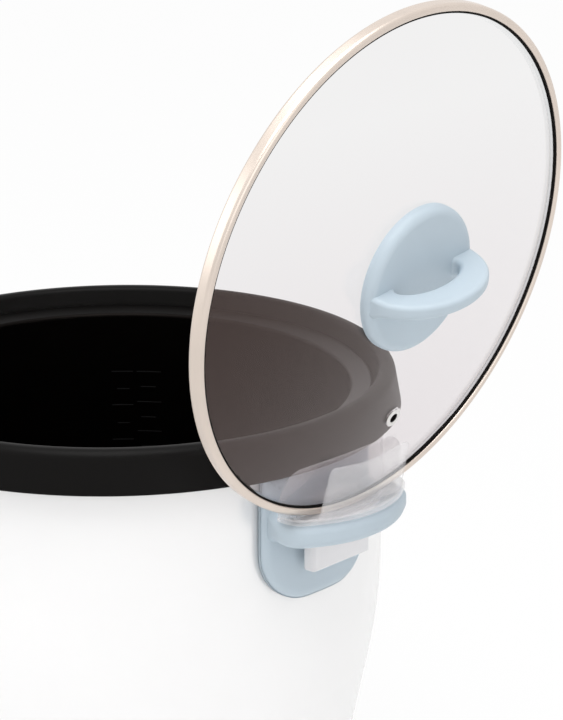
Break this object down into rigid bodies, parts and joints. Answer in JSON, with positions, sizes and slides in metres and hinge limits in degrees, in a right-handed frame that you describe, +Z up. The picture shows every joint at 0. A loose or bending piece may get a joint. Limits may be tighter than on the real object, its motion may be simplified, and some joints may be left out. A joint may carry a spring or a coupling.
{
  "type": "rice cooker",
  "caption": "White drum rice cooker with a black collar and pot, light-blue handles, and its glass lid standing in a clear side holder",
  "frame": {"origin": "centre of the base, on the plane of the table that the four feet stand on", "axes": "+Z up, -Y to the front where the switch panel is, +X to the handle that holds the lid"},
  "size_m": [0.397, 0.2856, 0.4467],
  "materials": {
    "white_enamel": "gloss",
    "black_collar": "satin",
    "non_stick": "satin",
    "liner_sheet": "satin",
    "blue_plastic": "satin",
    "clear_plastic": "clear",
    "glass": "clear",
    "rim_steel": "polished",
    "steel": "brushed",
    "cast_aluminium": "cast",
    "brass": "satin",
    "rubber": "matt",
    "seal": "matt",
    "dark_plastic": "satin",
    "lead_cover": "matt",
    "amber_lens": "clear"
  },
  "bodies": {
    "cooker": {"outer_shell": "white_enamel", "top_collar": "black_collar", "inner_chamber": "liner_sheet", "base_ring": "blue_plastic", "bottom_cover": "liner_sheet", "bottom_screws": "steel", "rubber_feet": "rubber", "heating_plate": "cast_aluminium", "heater_terminals": "steel", "plate_posts": "steel", "plate_screws": "steel", "sensor_sleeve": "steel", "sensor_spring": "steel", "lever_pin": "steel", "lever_bracket": "steel", "micro_switch": "dark_plastic", "side_heater": "dark_plastic", "thermal_fuse": "steel", "warm_thermostat": "dark_plastic", "wiring": "lead_cover", "switch_panel": "blue_plastic", "panel_screws": "steel", "lamp_lenses": "amber_lens", "lamp_bulbs": "glass", "power_inlet": "dark_plastic", "inlet_pins": "brass", "inlet_screws": "steel", "handle_right": "blue_plastic", "handle_left": "blue_plastic", "handle_screws": "steel"},
    "pot": {"inner_pot": "non_stick"},
    "cup": {"drip_cup": "clear_plastic"},
    "lid": {"lid_glass": "glass", "lid_rim": "rim_steel", "lid_seal": "rubber", "lid_knob": "blue_plastic", "knob_screw": "steel", "knob_washer": "seal", "vent_grommet": "rim_steel"},
    "lever": {"cook_lever": "steel", "lever_tab": "blue_plastic"},
    "magnet": {"magnet_plunger": "steel"},
    "sensor": {"sensor_cap": "cast_aluminium", "sensor_ferrite": "dark_plastic"}
  },
  "joints": [
    {"name": "pot_lift", "type": "slide", "parent": "cooker", "child": "pot", "axis": [0, 0, 1], "range_m": [0, 0.18]},
    {"name": "cup_lift", "type": "slide", "parent": "cooker", "child": "cup", "axis": [0, 0, 1], "range_m": [0, 0.06]},
    {"name": "lid_lift", "type": "slide", "parent": "cup", "child": "lid", "axis": [0.1874, 0, 0.9823], "range_m": [0, 0.06]},
    {"name": "lever_press", "type": "hinge", "parent": "cooker", "child": "lever", "pos_m": [0, -0.04, 0.03], "axis": [1, 0, 0], "range_deg": [0, 5]},
    {"name": "magnet_lift", "type": "slide", "parent": "cooker", "child": "magnet", "axis": [0, 0, 1], "range_m": [0, 0.0036]},
    {"name": "sensor_press", "type": "slide", "parent": "cooker", "child": "sensor", "axis": [0, 0, -1], "range_m": [0, 0.002], "stiffness_N_per_m": 400, "deforming": ["sensor_spring"]}
  ],
  "couplings": [
    {"joint": "magnet_lift", "follows": "lever_press", "m_per_rad": 0.04}
  ]
}
